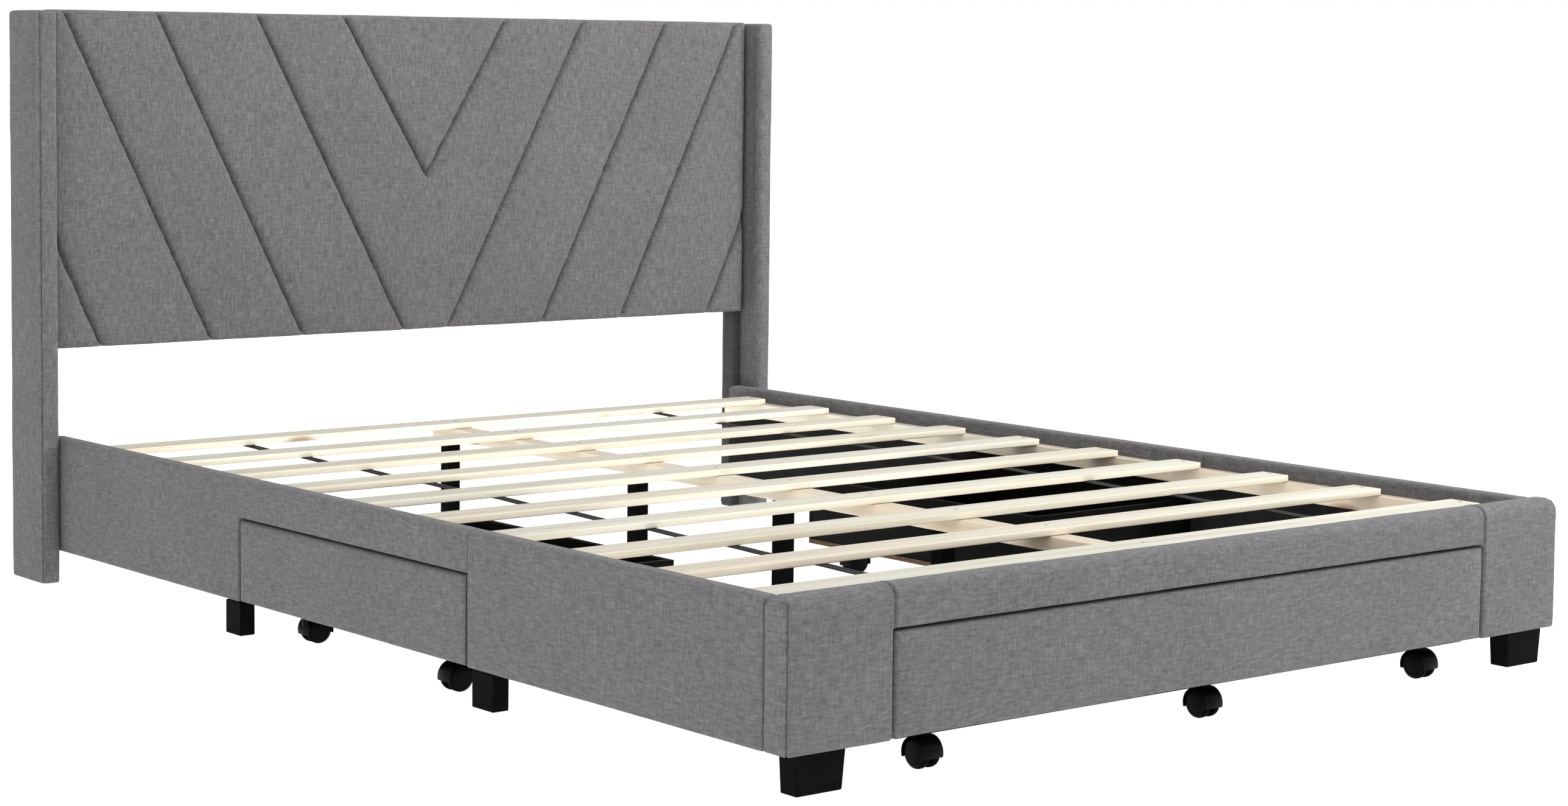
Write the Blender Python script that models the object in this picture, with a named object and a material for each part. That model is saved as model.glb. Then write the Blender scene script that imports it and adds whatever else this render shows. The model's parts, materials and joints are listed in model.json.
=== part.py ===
"""Queen platform bed: winged headboard, slatted deck and three rolling storage drawers.

Metres. The origin is on the floor under the middle of the bed, +Y runs towards the headboard and
+Z is up. The left side is -X, as seen from the foot of the bed.
"""

import math

import bmesh
import bpy
from mathutils import Matrix, Vector

# Overall size
BED_LENGTH = 2.194
HEADBOARD_WIDTH = 1.710
HEADBOARD_HEIGHT = 1.045
FRAME_WIDTH = 1.632
GAP = 0.0003

# Headboard, with y measured from the foot end
WING_THICKNESS = 0.0385
WING_DEPTH = 0.125
WING_HEIGHT = 1.043
PANEL_WIDTH = 1.626
PANEL_FRONT = 2.105
PANEL_THICKNESS = 0.041
PANEL_BOTTOM = 0.4255
BACK_FRAME_THICKNESS = 0.0117
BACK_FRAME_WIDTH = 1.6314
BACK_FRAME_TOP = 1.030
POST_WIDTH = 0.0197
POST_FRONT = 2.122

# Side rails and footboard
FRAME_BOTTOM = 0.057
RAIL_THICKNESS = 0.031
RAIL_TOP = 0.265
RAIL_END = 2.120
RAIL_JOIN = 0.746
RAIL_ROUNDING = 0.006
FOOTBOARD_THICKNESS = 0.050
FOOTBOARD_TOP = 0.269
FOOTBOARD_ROUNDING = 0.012

# Drawer openings
SIDE_OPENING_END = 1.427
SIDE_OPENING_TOP = 0.200
FOOT_OPENING_HALF = 0.629
FOOT_OPENING_TOP = 0.209

# Slatted deck
DECK_TOP = 0.251
SLAT_THICKNESS = 0.012
SLAT_WIDTH = 0.060
SLAT_LENGTH = 1.530
SLAT_COUNT = 10
FIRST_SLAT = 0.145
SLAT_PITCH = 0.2062
STRAP_WIDTH = 0.022
STRAP_THICKNESS = 0.0012
STRAP_OFFSET = 0.480
LEDGER_WIDTH = 0.028
LEDGER_HEIGHT = 0.030
LEDGER_END = 2.100
BEAM_WIDTH = 0.040
BEAM_HEIGHT = 0.024
BEAM_END = 2.055

# Legs
LEG_TOP = FRAME_BOTTOM - GAP
CENTRE_LEG_SIDE = 0.028
CENTRE_LEGS = (0.586, 0.990, 1.405, 2.020)
FOOT_LEG_TOP = ((0.7055, 0.7915), (0.0075, 0.0455))
FOOT_LEG_BOTTOM = ((0.7090, 0.7890), (0.0100, 0.0440))
MIDDLE_LEG = ((0.786, 0.8155), (0.677, 0.733))
HEAD_LEG = ((0.787, 0.8155), (1.421, 1.470))

# Drawers, with y measured inwards from the drawer's outer face
DRAWER_FRONT_THICKNESS = 0.022
DRAWER_FRONT_BOTTOM = 0.0585
DRAWER_ROUNDING = 0.005
DRAWER_DEPTH = 0.418
DRAWER_BOX_BOTTOM = 0.052
DRAWER_BOX_TOP = 0.176
DRAWER_WALL = 0.012
DRAWER_FLOOR = 0.009
SIDE_DRAWER_CENTRE = 1.0865
SIDE_FRONT_WIDTH = 0.676
SIDE_FRONT_TOP = 0.1945
SIDE_BOX_WIDTH = 0.610
SIDE_CASTERS = (-0.2195, 0.2415)
SIDE_REAR_CASTERS = (-0.230, 0.230)
SIDE_CASTER_INSET = 0.0626
FOOT_FRONT_WIDTH = 1.250
FOOT_FRONT_TOP = 0.205
FOOT_BOX_WIDTH = 1.210
FOOT_CASTERS = (-0.537, 0.025, 0.526)
FOOT_REAR_CASTERS = (-0.530, 0.530)
FOOT_CASTER_INSET = 0.056
REAR_CASTER_INSET = 0.380

# Twin-wheel casters
WHEEL_RADIUS = 0.022
WHEEL_INNER = 0.0045
WHEEL_OUTER = 0.0176
WHEEL_FLAT = 0.0120
WHEEL_HUB_RADIUS = 0.010
WHEEL_STEPS = 16
AXLE_RADIUS = 0.0025
AXLE_HOLE_RADIUS = 0.0026
CASTER_TRAIL = 0.014
HOOD_RADIUS = 0.0240
HOOD_WIDTH = 0.036
WHEEL_SPACE_RADIUS = 0.0229
WEB_THICKNESS = 0.0056
STEM_RADIUS = 0.0105
HOOD_CUT_HEIGHT = 0.0155
HOOD_CUT_TILT = math.radians(3)

FOOT_Y = -BED_LENGTH / 2

COLOURS = {
    "upholstery": ((0.19, 0.18, 0.185), 0.95, 0.0),
    "lining": ((0.02, 0.02, 0.02), 0.95, 0.0),
    "pine": ((0.78, 0.70, 0.56), 0.65, 0.0),
    "webbing": ((0.03, 0.03, 0.03), 0.9, 0.0),
    "black_paint": ((0.012, 0.012, 0.013), 0.45, 0.0),
    "drawer_board": ((0.05, 0.045, 0.04), 0.7, 0.0),
    "black_plastic": ((0.01, 0.01, 0.011), 0.35, 0.0),
}


def clear_scene():
    for obj in list(bpy.data.objects):
        bpy.data.objects.remove(obj, do_unlink=True)


def make_material(name):
    colour, roughness, metallic = COLOURS[name]
    material = bpy.data.materials.new(name)
    material.use_nodes = True
    shader = material.node_tree.nodes["Principled BSDF"]
    shader.inputs["Base Color"].default_value = (*colour, 1.0)
    shader.inputs["Roughness"].default_value = roughness
    shader.inputs["Metallic"].default_value = metallic
    material.diffuse_color = (*colour, 1.0)
    return material


def from_foot(distance):
    """World y of a place at this distance from the footboard's outer face."""
    return FOOT_Y + distance


def add_object(name, mesh, material_name, location=(0, 0, 0), parent=None):
    """An object of its own material; mesh is a Mesh or a BMesh, in the object's own coordinates."""
    if isinstance(mesh, bmesh.types.BMesh):
        made = bpy.data.meshes.new(name)
        mesh.to_mesh(made)
        mesh.free()
        mesh = made
    obj = bpy.data.objects.new(name, mesh)
    bpy.context.scene.collection.objects.link(obj)
    obj.location = location
    obj.parent = parent
    if not mesh.materials:
        mesh.materials.append(None)
    obj.material_slots[0].link = "OBJECT"
    obj.material_slots[0].material = make_material(material_name)
    return obj


def block_mesh(size):
    mesh = bmesh.new()
    bmesh.ops.create_cube(mesh, size=1.0)
    bmesh.ops.scale(mesh, vec=size, verts=mesh.verts)
    return mesh


def round_edges(obj, radius, segments):
    bevel = obj.modifiers.new("Rounded edges", "BEVEL")
    bevel.limit_method = "ANGLE"
    bevel.width = radius
    bevel.segments = segments
    return obj


def add_block(name, low, high, material_name, radius=0.0, segments=1, parent=None):
    """A block between two corners, with its origin at its centre and its edges rounded."""
    low, high = Vector(low), Vector(high)
    obj = add_object(name, block_mesh(high - low), material_name, (low + high) / 2, parent)
    if radius:
        round_edges(obj, radius, segments)
    return obj


def prism_mesh(outline, depth, to_world):
    """A flat outline of (u, v) points extruded by depth; to_world(u, v, w) places each point."""
    mesh = bmesh.new()
    near = [mesh.verts.new(to_world(u, v, 0.0)) for u, v in outline]
    far = [mesh.verts.new(to_world(u, v, depth)) for u, v in outline]
    mesh.faces.new(near)
    mesh.faces.new(reversed(far))
    for i in range(len(outline)):
        j = (i + 1) % len(outline)
        mesh.faces.new((near[i], far[i], far[j], near[j]))
    bmesh.ops.recalc_face_normals(mesh, faces=mesh.faces)
    return mesh


def sides():
    return (("left", -1), ("right", 1))


def span(side, inner, outer):
    """The low and high x of a piece between two distances from the middle, on one side."""
    return tuple(sorted((side * inner, side * outer)))


def build_back_frame():
    """The lined board behind the panel and, in one piece with it, the two posts below it."""
    start = PANEL_FRONT + PANEL_THICKNESS + GAP
    half = BACK_FRAME_WIDTH / 2
    outline = [
        (-half, 0.0),
        (POST_WIDTH - half, 0.0),
        (POST_WIDTH - half, PANEL_BOTTOM),
        (half - POST_WIDTH, PANEL_BOTTOM),
        (half - POST_WIDTH, 0.0),
        (half, 0.0),
        (half, BACK_FRAME_TOP),
        (-half, BACK_FRAME_TOP),
    ]
    board = prism_mesh(outline, BACK_FRAME_THICKNESS, lambda x, z, w: (x, from_foot(start) + w, z))
    post_size = (POST_WIDTH, start + BACK_FRAME_THICKNESS - POST_FRONT, PANEL_BOTTOM - GAP)
    posts = []
    for _, side in sides():
        centre = (side * (half - POST_WIDTH / 2), from_foot(POST_FRONT + post_size[1] / 2), 0.0)
        place = Matrix.Translation(Vector(centre) + Vector((0, 0, post_size[2] / 2)))
        posts.append(("UNION", guide(block_mesh(post_size), place)))
    mesh = combined("headboard_frame", guide(board), posts)
    add_object("headboard_frame", mesh, "lining")


def build_headboard():
    half_panel = PANEL_WIDTH / 2
    add_block(
        "headboard_panel",
        (-half_panel, from_foot(PANEL_FRONT), PANEL_BOTTOM),
        (half_panel, from_foot(PANEL_FRONT + PANEL_THICKNESS), HEADBOARD_HEIGHT),
        "upholstery",
        radius=0.012,
        segments=2,
    )
    build_back_frame()
    outer = HEADBOARD_WIDTH / 2
    wing_front = BED_LENGTH - WING_DEPTH
    for label, side in sides():
        x_low, x_high = span(side, outer - WING_THICKNESS, outer)
        add_block(
            f"headboard_wing_{label}",
            (x_low, from_foot(wing_front), 0.0),
            (x_high, from_foot(BED_LENGTH), WING_HEIGHT),
            "upholstery",
            radius=0.009,
            segments=2,
        )


def build_side_rails():
    """Each rail is two lengths joined beside the drawer; the head length bridges the drawer."""
    half = FRAME_WIDTH / 2
    foot_end = FOOTBOARD_THICKNESS + GAP
    bridge = [
        (RAIL_JOIN + GAP, SIDE_OPENING_TOP),
        (SIDE_OPENING_END, SIDE_OPENING_TOP),
        (SIDE_OPENING_END, FRAME_BOTTOM),
        (RAIL_END, FRAME_BOTTOM),
        (RAIL_END, RAIL_TOP),
        (RAIL_JOIN + GAP, RAIL_TOP),
    ]
    for label, side in sides():
        x_low, x_high = span(side, half - RAIL_THICKNESS, half)
        add_block(
            f"side_rail_{label}_foot",
            (x_low, from_foot(foot_end), FRAME_BOTTOM),
            (x_high, from_foot(RAIL_JOIN - GAP), RAIL_TOP),
            "upholstery",
            radius=RAIL_ROUNDING,
            segments=2,
        )
        mesh = prism_mesh(
            bridge, RAIL_THICKNESS, lambda y, z, w, x=x_low: (x + w, from_foot(y), z)
        )
        rail = add_object(f"side_rail_{label}_head", mesh, "upholstery")
        round_edges(rail, RAIL_ROUNDING, 2)


def build_footboard():
    """One board cut out below for the foot drawer."""
    half = FRAME_WIDTH / 2
    outline = [
        (-half, FRAME_BOTTOM),
        (-FOOT_OPENING_HALF, FRAME_BOTTOM),
        (-FOOT_OPENING_HALF, FOOT_OPENING_TOP),
        (FOOT_OPENING_HALF, FOOT_OPENING_TOP),
        (FOOT_OPENING_HALF, FRAME_BOTTOM),
        (half, FRAME_BOTTOM),
        (half, FOOTBOARD_TOP),
        (-half, FOOTBOARD_TOP),
    ]
    mesh = prism_mesh(outline, FOOTBOARD_THICKNESS, lambda x, z, w: (x, FOOT_Y + w, z))
    round_edges(add_object("footboard", mesh, "upholstery"), FOOTBOARD_ROUNDING, 2)


def build_deck():
    """Slats on two ledger strips and a centre beam, held at their pitch by two webbing straps."""
    slat_bottom = DECK_TOP - SLAT_THICKNESS
    support_top = slat_bottom - GAP
    rail_inner = FRAME_WIDTH / 2 - RAIL_THICKNESS - GAP
    start = FOOTBOARD_THICKNESS + GAP
    slat_ys = [FIRST_SLAT + i * SLAT_PITCH for i in range(SLAT_COUNT)]
    for i, y in enumerate(slat_ys):
        add_block(
            f"slat_{i + 1:02d}",
            (-SLAT_LENGTH / 2, from_foot(y - SLAT_WIDTH / 2), slat_bottom),
            (SLAT_LENGTH / 2, from_foot(y + SLAT_WIDTH / 2), DECK_TOP),
            "pine",
            radius=0.003,
        )
    for label, side in sides():
        x_low, x_high = span(side, rail_inner - LEDGER_WIDTH, rail_inner)
        add_block(
            f"ledger_{label}",
            (x_low, from_foot(start), support_top - LEDGER_HEIGHT),
            (x_high, from_foot(LEDGER_END), support_top),
            "pine",
        )
        x_low, x_high = span(side, STRAP_OFFSET - STRAP_WIDTH / 2, STRAP_OFFSET + STRAP_WIDTH / 2)
        add_block(
            f"slat_strap_{label}",
            (x_low, from_foot(slat_ys[0]), support_top - STRAP_THICKNESS),
            (x_high, from_foot(slat_ys[-1]), support_top),
            "webbing",
        )
    beam_bottom = support_top - BEAM_HEIGHT
    add_block(
        "centre_beam",
        (-BEAM_WIDTH / 2, from_foot(start), beam_bottom),
        (BEAM_WIDTH / 2, from_foot(BEAM_END), support_top),
        "pine",
    )
    half_leg = CENTRE_LEG_SIDE / 2
    for i, y in enumerate(CENTRE_LEGS):
        add_block(
            f"centre_leg_{i + 1}",
            (-half_leg, from_foot(y - half_leg), 0.0),
            (half_leg, from_foot(y + half_leg), beam_bottom - GAP),
            "black_paint",
            radius=0.001,
        )


def tapered_leg(name, side, top, bottom):
    """A leg between two rectangles, each ((x low, x high), (y low, y high)) on the right side."""
    mesh = bmesh.new()
    rings = []
    for (xs, ys), z in ((bottom, 0.0), (top, LEG_TOP)):
        corners = ((0, 0), (1, 0), (1, 1), (0, 1))
        rings.append([mesh.verts.new((side * xs[i], from_foot(ys[j]), z)) for i, j in corners])
    mesh.faces.new(rings[0])
    mesh.faces.new(rings[1])
    for i in range(4):
        j = (i + 1) % 4
        mesh.faces.new((rings[0][i], rings[0][j], rings[1][j], rings[1][i]))
    bmesh.ops.recalc_face_normals(mesh, faces=mesh.faces)
    round_edges(add_object(name, mesh, "black_paint"), 0.0015, 1)


def build_legs():
    for label, side in sides():
        tapered_leg(f"foot_leg_{label}", side, FOOT_LEG_TOP, FOOT_LEG_BOTTOM)
        tapered_leg(f"middle_leg_{label}", side, MIDDLE_LEG, MIDDLE_LEG)
        tapered_leg(f"head_leg_{label}", side, HEAD_LEG, HEAD_LEG)


def lathe_mesh(profile, steps):
    """A (along, radius) profile turned about the y axis; the ends are closed flat."""
    mesh = bmesh.new()
    rings = []
    for along, radius in profile:
        angles = (2 * math.pi * k / steps for k in range(steps))
        rings.append(
            [mesh.verts.new((radius * math.cos(a), along, radius * math.sin(a))) for a in angles]
        )
    for first, second in zip(rings, rings[1:]):
        for k in range(steps):
            n = (k + 1) % steps
            mesh.faces.new((first[k], first[n], second[n], second[k]))
    mesh.faces.new(rings[0])
    mesh.faces.new(rings[-1])
    bmesh.ops.recalc_face_normals(mesh, faces=mesh.faces)
    return mesh


def wheels_profile():
    """Both wheels of a caster and the axle between them, as one turned outline."""
    rounding = WHEEL_OUTER - WHEEL_FLAT
    drop = WHEEL_RADIUS - WHEEL_HUB_RADIUS
    arc = []
    for k in range(4):
        a = math.pi / 2 * k / 3
        arc.append((WHEEL_FLAT + rounding * math.sin(a), WHEEL_HUB_RADIUS + drop * math.cos(a)))
    inner = [(WHEEL_INNER, AXLE_RADIUS), (WHEEL_INNER, WHEEL_RADIUS - 0.001)]
    half = inner + [(WHEEL_INNER + 0.001, WHEEL_RADIUS)] + arc
    return [(-y, r) for y, r in reversed(half)] + half


def guide(mesh, matrix=None):
    """A temporary object for a Boolean, taken away again by combined()."""
    if matrix is not None:
        bmesh.ops.transform(mesh, matrix=matrix, verts=mesh.verts)
    obj = add_object("guide", mesh, "black_plastic")
    obj.hide_render = True
    obj.display_type = "WIRE"
    return obj


def combined(name, base, steps):
    """The base object's mesh after a row of Booleans, each (operation, guide object)."""
    for operation, other in steps:
        modifier = base.modifiers.new(operation, "BOOLEAN")
        modifier.operation = operation
        modifier.object = other
    graph = bpy.context.evaluated_depsgraph_get()
    mesh = bpy.data.meshes.new_from_object(base.evaluated_get(graph))
    mesh.name = name
    for obj in [base] + [other for _, other in steps]:
        bpy.data.objects.remove(obj, do_unlink=True)
    return mesh


def cylinder_mesh(radius, length, steps):
    """A cylinder along y, centred on the origin."""
    return lathe_mesh([(-length / 2, radius), (length / 2, radius)], steps)


def housing_mesh(name, steps, axle_hole):
    """A hood over two wheels, the web between them and the stem, about the swivel axis.

    The stem stands on the z axis, the wheels trail towards -x and their axle runs along y.
    """
    at_wheel = Matrix.Translation((-CASTER_TRAIL, 0, WHEEL_RADIUS))
    stem_foot = WHEEL_RADIUS + 0.008
    stem_length = DRAWER_BOX_BOTTOM - GAP - stem_foot
    stem_place = Matrix.Translation((0, 0, stem_foot + stem_length / 2))
    upright = Matrix.Rotation(math.pi / 2, 4, "X")
    stem = cylinder_mesh(STEM_RADIUS, stem_length, 16)
    cuts = [("UNION", guide(stem, stem_place @ upright))]
    space = HOOD_WIDTH / 2
    for side in (-1, 1):
        offset = side * (WEB_THICKNESS / 2 + space / 2)
        wheel_space = cylinder_mesh(WHEEL_SPACE_RADIUS, space, steps)
        cuts.append(("DIFFERENCE", guide(wheel_space, at_wheel @ Matrix.Translation((0, offset, 0)))))
    size = 4 * HOOD_RADIUS
    tilted = Matrix.Translation((-CASTER_TRAIL, 0, HOOD_CUT_HEIGHT)) @ Matrix.Rotation(
        HOOD_CUT_TILT, 4, "Y"
    )
    below = block_mesh((size, size, size))
    cuts.append(("DIFFERENCE", guide(below, tilted @ Matrix.Translation((0, 0, -size / 2)))))
    if axle_hole:
        hole = cylinder_mesh(AXLE_HOLE_RADIUS, 2 * WEB_THICKNESS, steps)
        cuts.append(("DIFFERENCE", guide(hole, at_wheel)))
    base = guide(cylinder_mesh(HOOD_RADIUS, HOOD_WIDTH, steps), at_wheel)
    return combined(name, base, cuts)


def caster_meshes():
    """Three shared meshes: a housing, a pair of wheels, and a whole caster in one piece."""
    housing = housing_mesh("caster_housing", WHEEL_STEPS, True)
    wheels = bpy.data.meshes.new("caster_wheels")
    profile_mesh = lathe_mesh(wheels_profile(), WHEEL_STEPS)
    profile_mesh.to_mesh(wheels)
    profile_mesh.free()
    closed = housing_mesh("closed_housing", WHEEL_STEPS, False)
    at_wheel = Matrix.Translation((-CASTER_TRAIL, 0, WHEEL_RADIUS))
    turned = guide(lathe_mesh(wheels_profile(), WHEEL_STEPS), at_wheel)
    base = add_object("guide", closed, "black_plastic")
    whole = combined("caster_whole", base, [("UNION", turned)])
    for mesh in (housing, wheels, whole):
        mesh.shade_smooth()
        mesh.set_sharp_from_angle(angle=math.radians(35))
    return {"housing": housing, "wheels": wheels, "whole": whole}


def add_caster(name, meshes, x, y, parent, two_nodes, trails_in=False):
    """A caster on a swivel axis at (x, y) of its drawer; it trails to the front or inwards."""
    swivel = bpy.data.objects.new(f"{name}_swivel_axis", None)
    bpy.context.scene.collection.objects.link(swivel)
    swivel.parent = parent
    swivel.location = (x, y, 0)
    swivel.rotation_euler = (0, 0, -math.pi / 2 if trails_in else math.pi / 2)
    if not two_nodes:
        add_object(name, meshes["whole"], "black_plastic", parent=swivel)
        return
    add_object(f"{name}_housing", meshes["housing"], "black_plastic", parent=swivel)
    axle = (-CASTER_TRAIL, 0, WHEEL_RADIUS)
    add_object(f"{name}_wheels", meshes["wheels"], "black_plastic", axle, parent=swivel)


def box_mesh(width, depth, height):
    """An open-topped box centred on its floor's underside, with walls and a floor."""
    mesh = block_mesh((width, depth, height))
    bmesh.ops.translate(mesh, vec=(0, 0, height / 2), verts=mesh.verts)
    mesh.faces.ensure_lookup_table()
    top = max(mesh.faces, key=lambda face: face.calc_center_median().z)
    bmesh.ops.inset_region(mesh, faces=[top], thickness=DRAWER_WALL)
    inside = bmesh.ops.extrude_discrete_faces(mesh, faces=[top])["faces"][0]
    bmesh.ops.translate(mesh, vec=(0, 0, DRAWER_FLOOR - height), verts=inside.verts)
    return mesh


def build_drawer(name, meshes, place, turn, sizes, front_casters, rear_casters):
    """A drawer in its own frame: x along its width, and y inwards from its outer face.

    Of two front casters, the first stands swivelled inwards.
    """
    front_width, front_top, box_width, caster_inset = sizes
    runner = bpy.data.objects.new(f"{name}_slide_axis", None)
    bpy.context.scene.collection.objects.link(runner)
    runner.location = place
    runner.rotation_euler = (0, 0, turn)
    add_block(
        f"{name}_front",
        (-front_width / 2, 0, DRAWER_FRONT_BOTTOM),
        (front_width / 2, DRAWER_FRONT_THICKNESS, front_top),
        "upholstery",
        radius=DRAWER_ROUNDING,
        segments=2,
        parent=runner,
    )
    box_start = DRAWER_FRONT_THICKNESS + GAP
    depth = DRAWER_DEPTH - box_start
    box = box_mesh(box_width, depth, DRAWER_BOX_TOP - DRAWER_BOX_BOTTOM)
    place_in_drawer = (0, box_start + depth / 2, DRAWER_BOX_BOTTOM)
    add_object(f"{name}_box", box, "drawer_board", place_in_drawer, runner)
    for i, x in enumerate(front_casters):
        trails_in = i == 0 and len(front_casters) == 2
        add_caster(f"{name}_caster_{i + 1}", meshes, x, caster_inset, runner, True, trails_in)
    for i, x in enumerate(rear_casters):
        number = len(front_casters) + i + 1
        add_caster(f"{name}_caster_{number}", meshes, x, REAR_CASTER_INSET, runner, False)


def build_drawers():
    meshes = caster_meshes()
    foot_sizes = (FOOT_FRONT_WIDTH, FOOT_FRONT_TOP, FOOT_BOX_WIDTH, FOOT_CASTER_INSET)
    foot_place = (0, FOOT_Y, 0)
    build_drawer(
        "foot_drawer", meshes, foot_place, 0.0, foot_sizes, FOOT_CASTERS, FOOT_REAR_CASTERS
    )
    side_sizes = (SIDE_FRONT_WIDTH, SIDE_FRONT_TOP, SIDE_BOX_WIDTH, SIDE_CASTER_INSET)
    for label, side in sides():
        place = (side * FRAME_WIDTH / 2, from_foot(SIDE_DRAWER_CENTRE), 0)
        turn = side * math.pi / 2
        name = f"{label}_drawer"
        build_drawer(name, meshes, place, turn, side_sizes, SIDE_CASTERS, SIDE_REAR_CASTERS)


def main():
    clear_scene()
    build_headboard()
    build_side_rails()
    build_footboard()
    build_deck()
    build_legs()
    build_drawers()


main()
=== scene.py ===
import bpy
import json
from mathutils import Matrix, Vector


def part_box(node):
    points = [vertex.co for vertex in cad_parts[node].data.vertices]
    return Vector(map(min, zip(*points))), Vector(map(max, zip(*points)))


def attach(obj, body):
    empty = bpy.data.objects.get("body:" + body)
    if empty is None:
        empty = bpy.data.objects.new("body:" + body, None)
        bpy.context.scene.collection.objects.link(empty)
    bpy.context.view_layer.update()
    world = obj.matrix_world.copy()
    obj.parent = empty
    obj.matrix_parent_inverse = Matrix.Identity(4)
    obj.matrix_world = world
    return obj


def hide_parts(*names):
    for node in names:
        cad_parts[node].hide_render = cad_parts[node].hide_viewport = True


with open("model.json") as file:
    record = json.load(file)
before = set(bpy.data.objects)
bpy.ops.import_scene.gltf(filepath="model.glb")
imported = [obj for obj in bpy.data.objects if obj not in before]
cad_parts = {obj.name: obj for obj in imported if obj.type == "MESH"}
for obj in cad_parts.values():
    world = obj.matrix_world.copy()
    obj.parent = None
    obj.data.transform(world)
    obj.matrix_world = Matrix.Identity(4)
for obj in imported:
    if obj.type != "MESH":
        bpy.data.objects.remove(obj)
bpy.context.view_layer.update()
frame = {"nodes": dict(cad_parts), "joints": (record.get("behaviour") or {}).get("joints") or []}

import json
import math

import bmesh
import bpy
from mathutils import Matrix, Vector, noise
from mathutils.bvhtree import BVHTree

# ---- Weave and wood, in metres ----
THREAD = 0.0011
WEAVE_MAP = "Weave"
LINEN = ((0.046, 0.044, 0.046), (0.119, 0.115, 0.1185), (0.222, 0.217, 0.2225))
PINE = ((0.66, 0.59, 0.45), (0.79, 0.735, 0.595), (0.87, 0.83, 0.72))
# Share by which upward faces of pine are darkened, so that the sides read lighter: painted light
# and shade by facing
PAINTED_TOP_SHADE = (0.555, 0.575, 0.595)

# ---- Upholstery ----
SEAM_WIDTH = 0.0020
SEAM_DEPTH = 0.0036
SWELL_CELL = 0.018
SWELL_FRAMES = 20
PRESSURE = 4.0
GRID = 0.030
RAIL_EDGES = {"join": 0.0024, "top": 0.009, "inner": 0.0015, "outer": 0.0040}
FOOTBOARD_EDGES = {"top": 0.019, "corner": 0.016, "end": 0.006, "notch": 0.0050}
WING_EDGES = {"top": 0.007, "inner": 0.015, "outer": 0.0055}
PANEL_EDGES = {"back": 0.004, "upright": 0.012, "level": 0.008}
DRAWER_EDGES = {"back": 0.0015, "top": 0.007, "side": 0.0048}
RAIL_OPENING = (0.0025, 0.0045)
FOOT_OPENING = 0.004
SEAM_CUTS = (0.0012, 0.0026, 0.0042, 0.0060, 0.0090)
CORNER_CUTS = (0.0008, 0.0017, 0.0028, 0.0042)
RAIL_SWELL = 0.0016
FOOTBOARD_SWELL = 0.0022
FOOTBOARD_END_SWELL = 0.0018
WING_SWELL = 0.0022
WING_FRONT_SWELL = 0.0034
DRAWER_SWELL = 0.0024
WING_BAND = 0.020
TOP_SEAM_DROP = 0.008
STOP_CLEARANCE = 0.0015
STOP_DROP = 0.0045
STOP_RISE = 0.0055
STOP_RUN_ON = 0.003
END_GAP = 0.0030

# ---- Parts in pairs and threes; each drawer's axis, and the way along it that it opens ----
SIDES = (("left", -1), ("right", 1))
DRAWERS = {"foot_drawer": (1, -1), "left_drawer": (0, -1), "right_drawer": (0, 1)}
TOUCH = 0.001

# ---- Deck, back and drawers ----
SLAT_TINTS = ("pale_slat", "warm_slat", "slat", "pale_slat", "slat")
SCREW_RADIUS = 0.0038
SCREW_INSET = 0.014
SCREW_STEPS = 12
STRAP_STEPS = 90
STRAP_SAG = 0.0015
STAPLE_PITCH = 0.060
STAPLE_INSET = 0.012
POST_WIDTH = 0.0197
BOX_WALL = 0.012
BOX_BOTTOM = 0.009
BOX_GAP = 0.0002

# ---- Casters ----
WHEEL_STEPS = 40
HOOD_STEPS = 48
HOOD_RIM = ((0.0180, 0.0232), (0.0177, 0.0237), (0.0170, 0.0240))
HOOD_INSIDE = 0.0229
HOOD_MOUTH = 0.0155
PLATE_HALF = 0.019
PLATE_THICKNESS = 0.0014

# ---- Headboard stitching: the top and the bottom of each seam on the right half, as (x, z) ----
CHEVRON = (
    ((0.192, 1.045), (0.000, 0.731)),
    ((0.384, 1.045), (0.052, 0.4255)),
    ((0.597, 1.045), (0.282, 0.4255)),
    ((0.787, 1.045), (0.483, 0.4255)),
    ((0.813, 0.637), (0.713, 0.4255)),
)
CHANNEL_DEPTH = 0.0050
CHANNEL_WIDTH = 0.0030
SHOULDER_DEPTH = 0.0060
SHOULDER_WIDTH = 0.0088
PANEL_CELL = 0.022
PANEL_SWELL = 0.004
PANEL_GAP = 0.0022
LIP_HEIGHT = 0.0020
LIP_PLACE = 0.0060
LIP_WIDTH = 0.0030
STITCH = 0.0052
STITCH_PITCH = 0.0070

# ---- The camera, fitted to the bed's own straight edges; degrees, and millimetres of lens ----
CAMERA_PLACE = (-3.3637, -4.1428, 0.9689)
CAMERA_TURN = (85.5756, -0.5768, -38.3943)
SENSOR_WIDTH = 36.0
FOCAL_LENGTH = 70.84
LENS_SHIFT = (0.0457, -0.0677)
FLOOR_GLOW = 0.99


# ======== Small helpers ========


def feed(tree, shader_node, inputs):
    """Gives a node its inputs; each is a plain value or another node's output."""
    for key, value in inputs.items():
        if isinstance(value, bpy.types.NodeSocket):
            tree.links.new(value, shader_node.inputs[key])
        else:
            shader_node.inputs[key].default_value = value


def node(tree, kind, inputs=(), **settings):
    made = tree.nodes.new(kind)
    for key, value in settings.items():
        setattr(made, key, value)
    feed(tree, made, dict(inputs))
    return made


def maths(tree, operation, first, second=0.0):
    return node(tree, "ShaderNodeMath", {0: first, 1: second}, operation=operation).outputs[0]


def multiply_add(tree, value, factor, addend):
    inputs = {0: value, 1: factor, 2: addend}
    return node(tree, "ShaderNodeMath", inputs, operation="MULTIPLY_ADD").outputs[0]


def scaled(tree, vector, scale):
    return node(tree, "ShaderNodeMapping", {"Vector": vector, "Scale": scale}).outputs[0]


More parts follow.
